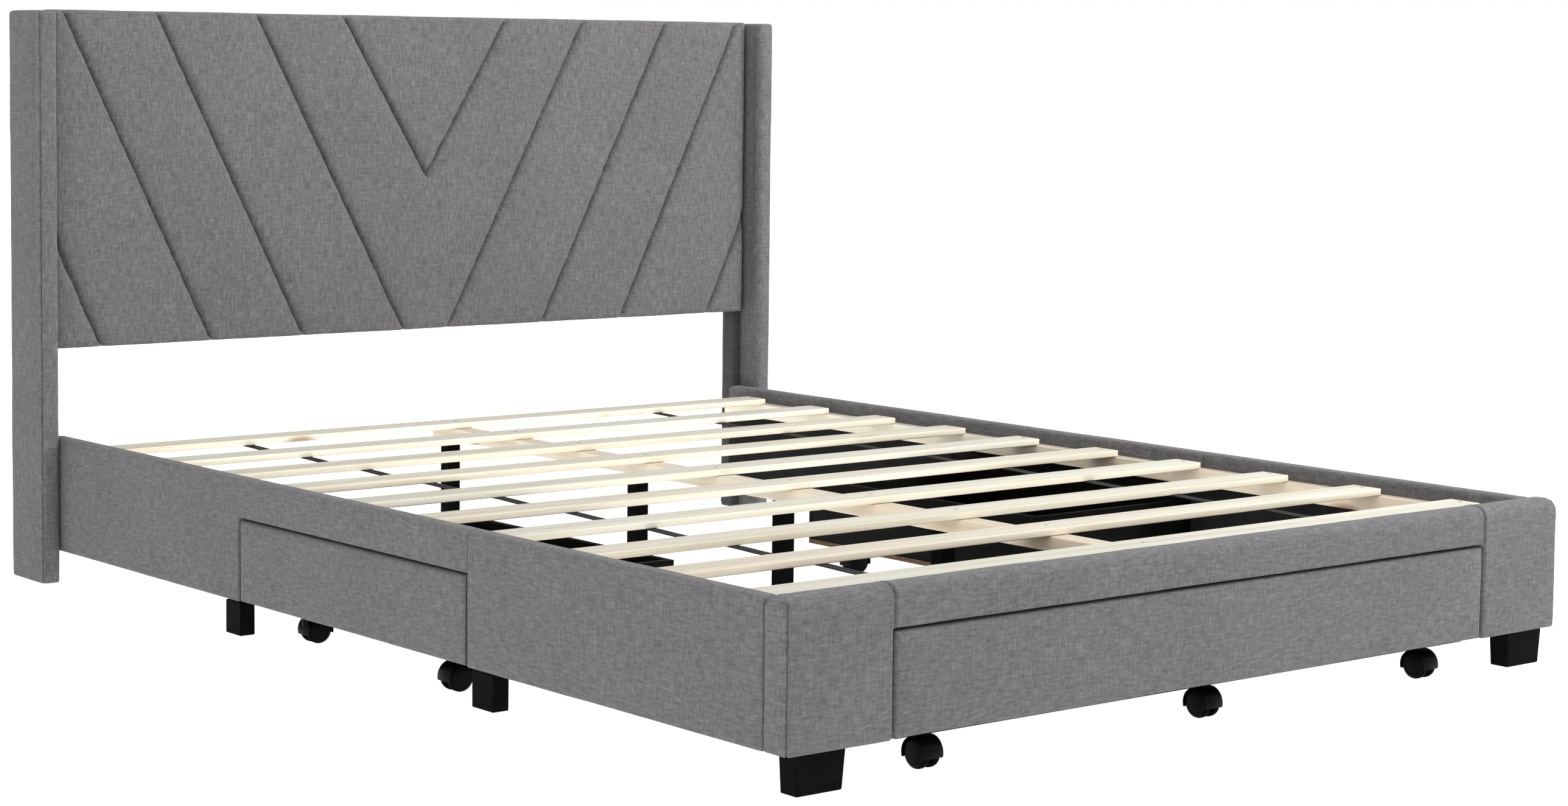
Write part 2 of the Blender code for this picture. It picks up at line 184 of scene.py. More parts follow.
def noise_of(tree, vector, scale, detail=2.0, roughness=0.5):
    """Noise with its own number of features to the metre along each axis."""
    inputs = {"Vector": scaled(tree, vector, scale), "Scale": 1.0, "Detail": detail}
    inputs["Roughness"] = roughness
    return node(tree, "ShaderNodeTexNoise", inputs).outputs[0]


def ramp(tree, factor, stops):
    """A colour ramp through (place, colour) stops."""
    made = node(tree, "ShaderNodeValToRGB", {0: factor})
    points = made.color_ramp.elements
    while len(points) < len(stops):
        points.new(0.5)
    for point, (place, colour) in zip(points, stops):
        point.position = place
        point.color = (*colour, 1.0)
    return made.outputs[0]


def mixed(tree, factor, first, second, blend="MIX"):
    """Two colours mixed; each is a plain colour or another node's output."""
    made = node(tree, "ShaderNodeMix", data_type="RGBA", blend_type=blend)
    for index, colour in ((6, first), (7, second)):
        plain = not isinstance(colour, bpy.types.NodeSocket)
        feed(tree, made, {index: (*colour, 1.0) if plain else colour})
    feed(tree, made, {0: factor})
    return made.outputs[2]


def grey(level):
    return (level, level, level)


def object_place(tree):
    return node(tree, "ShaderNodeTexCoord").outputs["Object"]


def finish_surface(tree, shader, colour, roughness, gloss, relief):
    """Colour and roughness, and relief as the (height, distance, strength) of a bump."""
    inputs = {"Base Color": colour, "Roughness": roughness, "Specular IOR Level": gloss}
    feed(tree, shader, inputs)
    set_bump(tree, shader, *relief)


def around(tree, factor, low, high):
    """A grey that runs from low to high as a noise does."""
    return ramp(tree, factor, ((0.3, grey(low)), (0.7, grey(high))))


def new_material(name):
    material = bpy.data.materials.new(name)
    material.use_nodes = True
    tree = material.node_tree
    return material, tree, tree.nodes["Principled BSDF"]


def set_bump(tree, shader, height, distance, strength):
    inputs = {"Height": height, "Distance": distance, "Strength": strength}
    bump = node(tree, "ShaderNodeBump", inputs)
    tree.links.new(bump.outputs[0], shader.inputs["Normal"])


# ======== Materials ========


def linen(name, tones=LINEN):
    """Heathered plain weave: uneven yarns crossing over and under, with slubs along both ways."""
    material, tree, shader = new_material(name)
    uv = node(tree, "ShaderNodeUVMap", uv_map=WEAVE_MAP).outputs[0]
    parts = node(tree, "ShaderNodeSeparateXYZ", {0: uv})
    short, long = 1 / THREAD, 0.11 / THREAD
    warp = noise_of(tree, uv, (short, long, 1), 1.0)
    weft = noise_of(tree, uv, (long, short, 1), 1.0)
    waves = []
    for axis in (0, 1):
        phase = maths(tree, "MULTIPLY", parts.outputs[axis], math.pi / THREAD)
        waves.append(maths(tree, "SINE", phase))
    crossing = maths(tree, "MULTIPLY", waves[0], waves[1])
    over = multiply_add(tree, crossing, 0.9, 0.5)
    over.node.use_clamp = True
    yarn = mixed(tree, over, warp, weft)
    short, long = 0.26 / THREAD, 0.050 / THREAD
    tone = multiply_add(tree, yarn, 0.55, -0.275)
    for scale, weight in (
        ((short, long, 1), 0.34),
        ((long, short, 1), 0.24),
        ((0.25 * short, 0.25 * long, 1), 0.07),
    ):
        streak = noise_of(tree, uv, scale, 1.0)
        tone = maths(tree, "ADD", tone, multiply_add(tree, streak, weight, -0.5 * weight))
    tone = maths(tree, "ADD", tone, 0.5)
    colour = ramp(tree, tone, ((0.22, tones[0]), (0.50, tones[1]), (0.80, tones[2])))
    cloud = around(tree, noise_of(tree, uv, (4, 4, 4), 3.0), 0.94, 1.05)
    shaded = mixed(tree, 1.0, colour, cloud, "MULTIPLY")
    ridges = maths(tree, "ABSOLUTE", crossing)
    height = maths(tree, "ADD", maths(tree, "MULTIPLY", ridges, 0.5), tone)
    finish_surface(tree, shader, shaded, 0.95, 0.15, (height, 0.0006, 0.6))
    feed(tree, shader, {"Sheen Weight": 0.08, "Sheen Roughness": 0.5})
    return material


def pine(name, along, warmth=0.0):
    """Planed softwood with its grain along one axis (0 for x, 1 for y)."""
    material, tree, shader = new_material(name)
    place = object_place(tree)

    def stretched(long, short):
        scale = [short] * 3
        scale[along] = long
        return tuple(scale)

    bands = noise_of(tree, place, stretched(1.1, 55), 3.0, 0.55)
    fibres = noise_of(tree, place, stretched(9, 650), 2.0, 0.6)
    broad = noise_of(tree, place, stretched(0.7, 5.0), 2.0)
    tone = multiply_add(tree, bands, 0.6, maths(tree, "MULTIPLY", fibres, 0.4))
    colour = ramp(tree, tone, ((0.34, PINE[0]), (0.50, PINE[1]), (0.66, PINE[2])))
    warm = (1.0 + 0.10 * warmth, 0.97 - 0.05 * warmth, 0.95 - 0.12 * warmth)
    tint = ramp(tree, broad, ((0.35, warm), (0.65, (1.02, 1.02, 1.0))))
    colour = mixed(tree, 1.0, colour, tint, "MULTIPLY")
    knot_scale = [7.0] * 3
    knot_scale[along] = 2.1
    inputs = {"Vector": scaled(tree, place, tuple(knot_scale)), "Scale": 1.0}
    knots = node(tree, "ShaderNodeTexVoronoi", inputs)
    spot = ramp(tree, knots.outputs["Distance"], ((0.040, (0.34, 0.20, 0.11)), (0.095, grey(1.0))))
    colour = mixed(tree, 0.8, colour, mixed(tree, 1.0, colour, spot, "MULTIPLY"))
    # Faces that look up are darkened and the sides are left lighter: painted light and shade by
    # facing, not a difference in the wood
    normal = node(tree, "ShaderNodeNewGeometry").outputs["Normal"]
    up = node(tree, "ShaderNodeSeparateXYZ", {0: normal}).outputs[2]
    flat = ramp(tree, maths(tree, "ABSOLUTE", up), ((0.35, grey(1.0)), (0.80, PAINTED_TOP_SHADE)))
    colour = mixed(tree, 1.0, colour, flat, "MULTIPLY")
    roughness = around(tree, fibres, 0.50, 0.66)
    finish_surface(tree, shader, colour, roughness, 0.35, (tone, 0.0004, 0.35))
    return material


def board(name, dark, light, roughness, gloss):
    """Fibreboard or stained wood, with a fine mottle."""
    material, tree, shader = new_material(name)
    place = object_place(tree)
    fine = noise_of(tree, place, (220, 220, 220), 4.0, 0.65)
    broad = noise_of(tree, place, (9, 9, 9), 2.0)
    tone = multiply_add(tree, fine, 0.7, maths(tree, "MULTIPLY", broad, 0.3))
    colour = ramp(tree, tone, ((0.35, dark), (0.65, light)))
    uneven = around(tree, fine, roughness - 0.07, roughness + 0.07)
    finish_surface(tree, shader, colour, uneven, gloss, (fine, 0.0003, 0.3))
    return material


def moulded(name, colour, roughness, gloss):
    """Moulded plastic with a very fine grain and faint handling marks."""
    material, tree, shader = new_material(name)
    place = object_place(tree)
    fine = noise_of(tree, place, (900, 900, 900), 2.0)
    marks = noise_of(tree, place, (40, 40, 40), 4.0, 0.6)
    light = tuple(1.5 * c + 0.002 for c in colour)
    handled = ramp(tree, marks, ((0.3, colour), (0.75, light)))
    uneven = around(tree, marks, roughness - 0.08, roughness + 0.10)
    finish_surface(tree, shader, handled, uneven, gloss, (fine, 0.0001, 0.25))
    return material


def metal(name, colour, roughness):
    """Zinc-plated steel for screws and staples."""
    material, tree, shader = new_material(name)
    place = object_place(tree)
    marks = noise_of(tree, place, (300, 300, 300), 3.0, 0.6)
    dull = tuple(0.6 * c for c in colour)
    worn = ramp(tree, marks, ((0.3, dull), (0.7, colour)))
    uneven = around(tree, marks, roughness, roughness + 0.2)
    feed(tree, shader, {"Base Color": worn, "Roughness": uneven, "Metallic": 1.0})
    return material


def lining(name):
    """Black non-woven cloth: matted short fibres, a little uneven in tone."""
    material, tree, shader = new_material(name)
    place = object_place(tree)
    fibres = noise_of(tree, place, (700, 700, 700), 4.0, 0.7)
    broad = noise_of(tree, place, (25, 25, 25), 2.0)
    cloud = around(tree, broad, 0.8, 1.2)
    colour = mixed(tree, 1.0, around(tree, fibres, 0.006, 0.020), cloud, "MULTIPLY")
    finish_surface(tree, shader, colour, 0.9, 0.1, (fibres, 0.0004, 0.5))
    return material


def webbing(name):
    """Black woven tape: fine ribs across its width."""
    material, tree, shader = new_material(name)
    place = object_place(tree)
    parts = node(tree, "ShaderNodeSeparateXYZ", {0: place})
    ribs = maths(tree, "SINE", maths(tree, "MULTIPLY", parts.outputs[1], 2 * math.pi / 0.0016))
    yarns = noise_of(tree, place, (900, 300, 300), 2.0)
    height = maths(tree, "ADD", maths(tree, "MULTIPLY", ribs, 0.4), yarns)
    colour = around(tree, yarns, 0.008, 0.030)
    finish_surface(tree, shader, colour, 0.8, 0.1, (height, 0.0004, 0.6))
    return material


def darker(share):
    return tuple(tuple(share * c for c in tone) for tone in LINEN)


MATERIALS = {
    "linen": linen("heather_linen"),
    # A darker copy of the linen that paints in shade: on the posts under the panel and on the end
    # faces of the side drawers' fronts
    "shaded": linen("painted_shade_linen", darker(0.45)),
    "thread": linen("seam_thread", darker(0.5)),
    "slat": pine("pine_slats", 0, 0.0),
    "pale_slat": pine("pale_pine_slats", 0, -0.35),
    "warm_slat": pine("warm_pine_slats", 0, 0.4),
    "timber": pine("pine_bearers", 1, 0.5),
    "lining": lining("black_non_woven"),
    "webbing": webbing("black_webbing"),
    "foot": moulded("black_foot", (0.0022, 0.0022, 0.0020), 0.50, 0.015),
    "leg": board(
        "black_stained_leg", (0.0018, 0.0018, 0.0018), (0.0036, 0.0034, 0.0032), 0.6, 0.015
    ),
    "plastic": moulded("caster_plastic", (0.0012, 0.0012, 0.0012), 0.30, 0.05),
    "tread": moulded("caster_tread", (0.0010, 0.0010, 0.0011), 0.50, 0.01),
    "drawer": board(
        "black_drawer_board", (0.0020, 0.0020, 0.0020), (0.0060, 0.0056, 0.0054), 0.6, 0.04
    ),
    "raw": board("raw_fibreboard", (0.070, 0.042, 0.024), (0.15, 0.095, 0.055), 0.85, 0.1),
    "zinc": metal("zinc_screw", (0.42, 0.41, 0.39), 0.35),
}


# ======== Mesh building ========


def linked(name, data):
    """A new object in the scene."""
    obj = bpy.data.objects.new(name, data)
    bpy.context.scene.collection.objects.link(obj)
    return obj


def as_data(name, mesh):
    """The mesh data of a BMesh, which is freed."""
    data = bpy.data.meshes.new(name)
    mesh.to_mesh(data)
    mesh.free()
    return data


def axis_vector(axis):
    return Vector(1.0 if i == axis else 0.0 for i in range(3))


def bridge(mesh, rings):
    """Joins each ring of points to the next."""
    for first, second in zip(rings, rings[1:]):
        for k in range(len(first)):
            j = (k + 1) % len(first)
            mesh.faces.new((first[k], first[j], second[j], second[k]))


def capped(mesh, rings):
    """Joins rings of points and closes both ends."""
    bridge(mesh, rings)
    mesh.faces.new(rings[0])
    mesh.faces.new(rings[-1])


def add_piece(name, mesh, materials, body, replaced=()):
    """Makes an object of a BMesh or Mesh, lets it ride on its body and hides the parts it stands
    for.
    """
    if isinstance(mesh, bmesh.types.BMesh):
        mesh = as_data(name, mesh)
    obj = linked(name, mesh)
    if not mesh.materials:
        for key in materials:
            mesh.materials.append(MATERIALS[key])
    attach(obj, body)
    if replaced:
        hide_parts(*replaced)
    return obj


def finish_piece(name, mesh, materials, replaced=(), body="frame", angle=40):
    smooth(add_piece(name, mesh, materials, body, replaced).data, angle)


def evaluated(obj):
    """The mesh of an object with its modifiers, as a BMesh; the object is removed."""
    graph = bpy.context.evaluated_depsgraph_get()
    mesh = bpy.data.meshes.new_from_object(obj.evaluated_get(graph))
    bpy.data.objects.remove(obj, do_unlink=True)
    made = bmesh.new()
    made.from_mesh(mesh)
    bpy.data.meshes.remove(mesh)
    return made


def smooth(mesh, angle=35):
    mesh.shade_smooth()
    mesh.set_sharp_from_angle(angle=math.radians(angle))


def weave_map(mesh, lengthwise):
    """Lays the weave over a BMesh in real metres, from the side that each face looks towards.

    The stronger yarns run upright, or level where the cloth is laid lengthwise.
    """
    layer = mesh.loops.layers.uv.get(WEAVE_MAP) or mesh.loops.layers.uv.new(WEAVE_MAP)
    axes = ((1, 2), (0, 2), (0, 1))
    for face in mesh.faces:
        normal = face.normal
        facing = max(range(3), key=lambda i: abs(normal[i]))
        u, v = axes[facing]
        for loop in face.loops:
            place = (loop.vert.co[u], loop.vert.co[v])
            loop[layer].uv = (place[1], -place[0]) if lengthwise else place


def extruded(outline, depth, place):
    """A closed solid of a flat outline of (u, v) points; place(u, v, w) puts each point."""
    mesh = bmesh.new()
    near = [mesh.verts.new(place(u, v, 0.0)) for u, v in outline]
    far = [mesh.verts.new(place(u, v, depth)) for u, v in outline]
    mesh.faces.new(near)
    mesh.faces.new(reversed(far))
    for i in range(len(outline)):
        j = (i + 1) % len(outline)
        mesh.faces.new((near[i], far[i], far[j], near[j]))
    bmesh.ops.recalc_face_normals(mesh, faces=mesh.faces)
    return mesh


def block(low, high):
    low, high = Vector(low), Vector(high)
    mesh = bmesh.new()
    bmesh.ops.create_cube(mesh, size=1.0)
    bmesh.ops.scale(mesh, vec=high - low, verts=mesh.verts)
    bmesh.ops.translate(mesh, vec=(low + high) / 2, verts=mesh.verts)
    return mesh


def rounded(mesh, width_of, segments=5):
    """Rounds each edge of a BMesh by its own width, which width_of gives for the edge's ends."""
    widest = max(width_of(*ends(edge)) for edge in mesh.edges)
    layer = mesh.edges.layers.float.new("bevel_weight_edge")
    for edge in mesh.edges:
        edge[layer] = width_of(*ends(edge)) / widest
    obj = linked("rounding", as_data("rounding", mesh))
    bevel = obj.modifiers.new("Rounding", "BEVEL")
    bevel.limit_method = "WEIGHT"
    bevel.width = widest
    bevel.segments = segments
    return evaluated(obj)


def ends(edge):
    return edge.verts[0].co, edge.verts[1].co


def cut(mesh, point, normal, faces=None):
    """Divides a BMesh, or only some of its faces, by a plane, and returns those faces."""
    faces = list(mesh.faces) if faces is None else faces
    geometry = set(faces)
    for face in faces:
        geometry.update(face.edges)
        geometry.update(face.verts)
    plane = {"plane_co": point, "plane_no": normal, "dist": 1e-6}
    made = bmesh.ops.bisect_plane(mesh, geom=list(geometry), **plane)
    return [item for item in made["geom"] if isinstance(item, bmesh.types.BMFace)]


def cut_grid(mesh, cell):
    """Divides a BMesh into cells of about this size along each axis."""
    for axis in range(3):
        cut_grid_axis(mesh, axis, cell)


def cut_grid_axis(mesh, axis, cell):
    low, high = corners_of(mesh)
    count = round((high[axis] - low[axis]) / cell)
    for k in range(1, count):
        point = low.copy()
        point[axis] += (high[axis] - low[axis]) * k / count
        cut(mesh, point, axis_vector(axis))


def cut_beside(mesh, axis, place, offsets):
    """Divides a BMesh on both sides of a seam that lies across an axis."""
    normal = axis_vector(axis)
    for offset in offsets:
        for side in (-1, 1):
            cut(mesh, normal * (place + side * offset), normal)
    cut(mesh, normal * place, normal)


def corners_of(mesh):
    low, high = Vector((1e9,) * 3), Vector((-1e9,) * 3)
    for vert in mesh.verts:
        for i in range(3):
            low[i] = min(low[i], vert.co[i])
            high[i] = max(high[i], vert.co[i])
    return low, high


def displaced(mesh, height_of):
    """Moves each point of a BMesh along its normal by height_of(place, normal)."""
    mesh.normal_update()
    moves = [(vert, vert.normal * height_of(vert.co, vert.normal)) for vert in mesh.verts]
    for vert, move in moves:
        vert.co += move


def hollow(distance, width, depth):
    """How far in a seam pulls the cloth at this distance from its line."""
    return -depth * math.exp(-((distance / width) ** 2))


def seam_profile(distance):
    """A sewn seam: a tight crease between two soft shoulders."""
    shoulder = 0.0008 * math.exp(-(((distance - 0.0055) / 0.003) ** 2))
    return hollow(distance, SEAM_WIDTH, SEAM_DEPTH) + shoulder


def unevenness(place, amount=0.0005):
    """Foam and cloth are never quite flat."""
    return amount * (noise.noise(place * 9.0) + 0.5 * noise.noise(place * 26.0))


def swelled(low, high, most, lines=()):
    """Cloth pinned round a rectangle and along its seams, pushed out by the foam behind it.

    Corners and lines are in the cloth's own plane. The result gives the rise at a place.
    """
    low, high = Vector(low), Vector(high)
    counts = [max(4, round((high[i] - low[i]) / SWELL_CELL)) for i in (0, 1)]
    mesh = bmesh.new()
    bmesh.ops.create_grid(mesh, x_segments=counts[0], y_segments=counts[1], size=0.5)
    pinned = []
    for vert in mesh.verts:
        flat = Vector(low[i] + (vert.co[i] + 0.5) * (high[i] - low[i]) for i in (0, 1))
        held = vert.is_boundary
        for start, end in lines:
            nearest, along = closest(flat, start, end)
            if not held and 0.0 <= along <= 1.0 and (nearest - flat).length < 0.5 * SWELL_CELL:
                flat, held = nearest, True
        vert.co = (*flat, 0.0)
        if held:
            pinned.append(vert.index)
    obj = linked("cloth", as_data("cloth", mesh))
    obj.vertex_groups.new(name="Sewn").add(pinned, 1.0, "REPLACE")
    cloth = obj.modifiers.new("Cloth", "CLOTH")
    cloth.collision_settings.use_collision = False
    cloth.settings.vertex_group_mass = "Sewn"
    cloth.settings.effector_weights.gravity = 0.0
    cloth.settings.use_pressure = True
    cloth.settings.uniform_pressure_force = PRESSURE
    cloth.point_cache.frame_end = SWELL_FRAMES
    for frame_number in range(1, SWELL_FRAMES + 1):
        bpy.context.scene.frame_set(frame_number)
    blown = evaluated(obj)
    bpy.context.scene.frame_set(1)
    rise = max(abs(vert.co.z) for vert in blown.verts)
    for vert in blown.verts:
        vert.co.z *= most / rise * (1.0 if vert.co.z > 0 else -1.0)
    surface = BVHTree.FromBMesh(blown)
    blown.free()

    def rise_at(u, v):
        hit = surface.ray_cast(Vector((u, v, 1.0)), Vector((0.0, 0.0, -1.0)))[0]
        return hit.z if hit else 0.0

    return rise_at


def closest(place, start, end):
    """The nearest place on the line through two others, and how far along it is."""
    span = end - start
    along = (place - start).dot(span) / span.length_squared
    return start + span * along, along


# ======== Upholstered pieces ========


def finish_upholstery(name, mesh, body, node_name, extra=(), lengthwise=True):
    weave_map(mesh, lengthwise)
    obj = add_piece(name, mesh, ("linen", *extra), body, (node_name,))
    smooth(obj.data, 50)
    return obj


def cushion(axis, side, low, high, most, lines=()):
    """The swell of one flat side of a box; lines are sewn, in the plane of that side."""
    u, v = (i for i in range(3) if i != axis)
    rise = swelled((low[u], low[v]), (high[u], high[v]), most, lines)
    return lambda p, n: rise(p[u], p[v]) * max(0.0, n[axis] * side)


def sewn_corner(mesh, corner, inward):
    """Cuts a mesh for a seam along an upright corner, and returns the seam's depth at a place."""
    corner, inward = Vector((*corner, 0.0)), Vector((*inward, 0.0))
    across = Vector((inward.x, -inward.y, 0.0)).normalized()
    for offset in (0.0, *CORNER_CUTS):
        for side in (-1, 1) if offset else (1,):
            near = []
            for face in mesh.faces:
                middle = face.calc_center_median()
                if max(abs(middle.x - corner.x), abs(middle.y - corner.y)) < 0.016:
                    near.append(face)
            cut(mesh, corner + across * side * offset, across, near)

    def depth(p):
        from_corner = Vector((p.x, p.y, 0.0)) - corner
        if from_corner.length > 0.03:
            return 0.0
        return hollow(abs(from_corner.dot(across)), 0.0014, 0.0030)

    return depth


def vertical(a, b):
    return abs(a.z - b.z) > 0.9 * (a - b).length


def build_rails():
    """Cloth over boards, with a soft top edge; black lining inside, below the ledger."""
    ledger_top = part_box("ledger_left")[1].z
    for label, side in SIDES:
        for part in ("foot", "head"):
            node_name = f"side_rail_{label}_{part}"
            low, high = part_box(node_name)
            outline, sewn = rail_outline(part, low, high)
            mesh = extruded(outline, high.x - low.x, lambda y, z, w, x=low.x: (x + w, y, z))
            mesh = rounded(mesh, rail_rounding(part, low, high))
            cut_grid(mesh, GRID)
            cut(mesh, (0, 0, ledger_top), (0, 0, 1))
            swell = cushion(0, side, low, high, RAIL_SWELL, sewn)
            displaced(mesh, lambda p, n, swell=swell: swell(p, n) + unevenness(p, 0.0004))
            middle_x = abs(low.x + high.x) / 2
            for face in mesh.faces:
                middle = face.calc_center_median()
                inward = face.normal.x * side < -0.7 and abs(middle.x) < middle_x
                if inward and middle.z < ledger_top:
                    face.material_index = 1
            finish_upholstery(f"{node_name}_cover", mesh, "frame", node_name, ("lining",))


def build_stop_and_shade_strips():
    """A black strip under the top of each side opening, which the drawer's front shuts against; it
    is black so that the slit above the front shows dark, a sheet that stands in for shade.
    """
    for label, side in SIDES:
        front_low, front_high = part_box(f"{label}_drawer_front")
        rail_low, rail_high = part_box(f"side_rail_{label}_head")
        front_back = front_high.x if side < 0 else front_low.x
        rail_inner = rail_high.x if side < 0 else rail_low.x
        x_low, x_high = sorted((front_back - side * STOP_CLEARANCE, rail_inner))
        low = Vector((x_low, rail_low.y, front_high.z - STOP_DROP))
        high = Vector((x_high, front_high.y + STOP_RUN_ON, front_high.z + STOP_RISE))
        # Black lining, so the slit above the drawer's front shows dark: a dark sheet as painted
        # shade, as well as a stop
        mesh = rounded(block(low, high), lambda a, b: 0.001, 2)
        finish_piece(f"stop_and_shade_strip_{label}", mesh, ("lining",))


def rail_outline(part, low, high):
    """A rail from the side as (y, z) points, and where its cloth turns in at the drawer."""
    if part == "foot":
        return [(low.y, low.z), (high.y, low.z), (high.y, high.z), (low.y, high.z)], ()
    front_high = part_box("left_drawer_front")[1]
    end, top = front_high.y + RAIL_OPENING[0], front_high.z + RAIL_OPENING[1]
    outline = [(low.y, top), (end, top), (end, low.z)]
    outline += [(high.y, low.z), (high.y, high.z), (low.y, high.z)]
    corner = Vector((end, top))
    return outline, ((Vector((low.y, top)), corner), (corner, Vector((end, low.z))))


def rail_rounding(part, low, high):
    """Soft along the top, firmer below, and nearly square where the two lengths meet."""
    join = high.y if part == "foot" else low.y
    inner = min(abs(low.x), abs(high.x))

    def width(a, b):
        if max(abs(a.y - join), abs(b.y - join)) < TOUCH:
            return RAIL_EDGES["join"]
        if min(a.z, b.z) > high.z - TOUCH:
            return RAIL_EDGES["top"]
        if max(abs(a.x), abs(b.x)) < inner + TOUCH:
            return RAIL_EDGES["inner"]
        return RAIL_EDGES["outer"]

    return width


def build_footboard():
    """A board with a rolled top, sewn end bands and a seam above each side of the drawer."""
    low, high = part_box("footboard")
    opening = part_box("foot_drawer_front")[1].x + FOOT_OPENING
    opening_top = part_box("foot_drawer_front")[1].z + FOOT_OPENING
    outline = [(low.x, low.z), (-opening, low.z), (-opening, opening_top)]
    outline += [(opening, opening_top), (opening, low.z)]
    outline += [(high.x, low.z), (high.x, high.z), (low.x, high.z)]
    mesh = extruded(outline, high.y - low.y, lambda x, z, w: (x, low.y + w, z))

    def width(a, b):
        if min(a.z, b.z) > high.z - TOUCH:
            return FOOTBOARD_EDGES["top" if abs(a.y - b.y) < TOUCH else "corner"]
        if vertical(a, b) and abs(a.x) > high.x - TOUCH:
            return FOOTBOARD_EDGES["end"]
        return FOOTBOARD_EDGES["notch"]

    mesh = rounded(mesh, width, 6)
    cut_grid(mesh, GRID)
    seam = opening - 0.0015
    for side in (-1, 1):
        cut_beside(mesh, 0, side * seam, SEAM_CUTS)
    cut_beside(mesh, 2, high.z - TOP_SEAM_DROP, SEAM_CUTS[:3])
    corners = [
        sewn_corner(mesh, (side * high.x, low.y), (-side, 1.0)) for side in (-1, 1)
    ]
    left, right = Vector((-opening, opening_top)), Vector((opening, opening_top))
    sewn = [
        (left, right),
        (left, Vector((-opening, low.z))),
        (right, Vector((opening, low.z))),
        (Vector((-seam, opening_top)), Vector((-seam, high.z))),
        (Vector((seam, opening_top)), Vector((seam, high.z))),
    ]
    swells = [cushion(1, -1, low, high, FOOTBOARD_SWELL, sewn)]
    for side in (-1, 1):
        swells.append(cushion(0, side, low, high, FOOTBOARD_END_SWELL))

    def height(p, n):
        made = sum(swell(p, n) for swell in swells) + unevenness(p, 0.0007)
        if p.z > opening_top + TOUCH:
            made += seam_profile(abs(abs(p.x) - seam) * wander(p))
        if p.z < high.z - 0.006:
            made += sum(depth(p) for depth in corners)
        if abs(n.x) > 0.5 and abs(p.x) > high.x - 0.02:
            made += hollow(p.z - high.z + TOP_SEAM_DROP, 0.0020, 0.0022)
        return made

    displaced(mesh, height)
    finish_upholstery("footboard_cover", mesh, "frame", "footboard")


def wander(p):
    """A hand-sewn seam opens and closes a little along its length."""
    return 1.0 + 0.35 * noise.noise(Vector((p.y, p.z, 3.1)) * 60.0)


def build_wings():
    """Narrow padded uprights: a band down the front, sewn to the cloth of the outer side."""
    for label, side in SIDES:
        node_name = f"headboard_wing_{label}"
        low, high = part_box(node_name)
        outer, inner = (high.x, low.x) if side > 0 else (low.x, high.x)

        def width(a, b, top=high.z, inner=inner):
            if min(a.z, b.z) > top - TOUCH:
                return WING_EDGES["top"]
            if vertical(a, b) and abs(a.x - inner) < TOUCH:
                return WING_EDGES["inner"]
            return WING_EDGES["outer"]

        mesh = rounded(block(low, high), width, 6)
        cut_grid(mesh, GRID)
        cut_beside(mesh, 1, low.y + WING_BAND, (0.004, 0.009))
        crease = sewn_corner(mesh, (outer, low.y), (-side, 1.0))
        swells = [
            cushion(0, side, low, high, WING_SWELL),
            cushion(1, -1, low, high, WING_FRONT_SWELL),
        ]

        def height(p, n, top=high.z, front=low.y, swells=swells, crease=crease):
            made = sum(swell(p, n) for swell in swells) + unevenness(p, 0.0008)
            slack = min(1.0, max(0.0, (p.z - 0.30) / 0.5))
            made += slack * abs(n.x) * hollow(p.y - front - WING_BAND, 0.008, 0.0022)
            return made + (crease(p) if p.z < top - 0.004 else 0.0)

        displaced(mesh, height)
        finish_upholstery(f"{node_name}_cover", mesh, "frame", node_name, lengthwise=False)


def build_back():
    """The stapled dust cloth behind the panel, and the two covered posts below it, in a darker
    linen that is painted shade.
    """
    low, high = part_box("headboard_frame")
    panel_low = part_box("headboard_panel")[0]
    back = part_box("headboard_panel")[1].y + 0.0003
    mesh = rounded(block((low.x, back, panel_low.z), high), lambda a, b: 0.0015, 2)
    cut_grid(mesh, 0.025)

    def slack(p, n):
        """The cloth is drawn tight at each staple and is looser between them."""
        if n.y < 0.9:
            return 0.0
        inside = min(p.x - low.x, high.x - p.x, p.z - panel_low.z, high.z - p.z)
        along = p.x if min(high.z - p.z, p.z - panel_low.z) < inside + TOUCH else p.z
        ripple = 0.0006 * math.cos(math.tau * along / STAPLE_PITCH) * math.exp(-inside / 0.03)
        return -0.0008 - ripple + unevenness(p, 0.0005) * min(1.0, inside / 0.05)

    displaced(mesh, slack)
    replaced = ("headboard_frame",)
    finish_piece("headboard_dust_cloth", mesh, ("lining",), replaced)
    staples = bmesh.new()
    x_ends = (low.x + STAPLE_INSET, high.x - STAPLE_INSET)
    z_ends = (panel_low.z + STAPLE_INSET, high.z - STAPLE_INSET)
    for x, z, upright in staple_places(*x_ends, *z_ends):
        half = Vector((0.0006, 0.0005, 0.0050) if upright else (0.0050, 0.0005, 0.0006))
        place = Vector((x, high.y - 0.0004, z))
        add_mesh(staples, rounded(block(place - half, place + half), lambda a, b: 0.0004, 2))
    finish_piece("headboard_staples", staples, ("zinc",))
    for label, side in SIDES:
        x_low, x_high = sorted((side * (high.x - POST_WIDTH), side * high.x))
        mesh = block((x_low, low.y, 0.0), (x_high, high.y, panel_low.z - 0.0003))
        mesh = rounded(mesh, lambda a, b: 0.003, 3)
        cut_grid(mesh, GRID)
        displaced(mesh, lambda p, n: unevenness(p, 0.0003))
        weave_map(mesh, False)
        name = f"headboard_post_{label}"
        # The posts' cloth is the darker linen: painted shade
        finish_piece(name, mesh, ("shaded",), replaced, angle=50)


def staple_places(x_low, x_high, z_low, z_high):
    """Places round a rectangle, with whether each staple stands upright."""
    places = []
    count = round((x_high - x_low) / STAPLE_PITCH)
    for k in range(count + 1):
        x = x_low + (x_high - x_low) * k / count
        places += [(x, z_low, False), (x, z_high, False)]
    count = round((z_high - z_low) / STAPLE_PITCH)
    for k in range(1, count):
        z = z_low + (z_high - z_low) * k / count
        places += [(x_low, z, True), (x_high, z, True)]
    return places


def add_mesh(mesh, part):
    """Adds one BMesh to another and frees it."""
    data = as_data("part", part)
    mesh.from_mesh(data)
    bpy.data.meshes.remove(data)


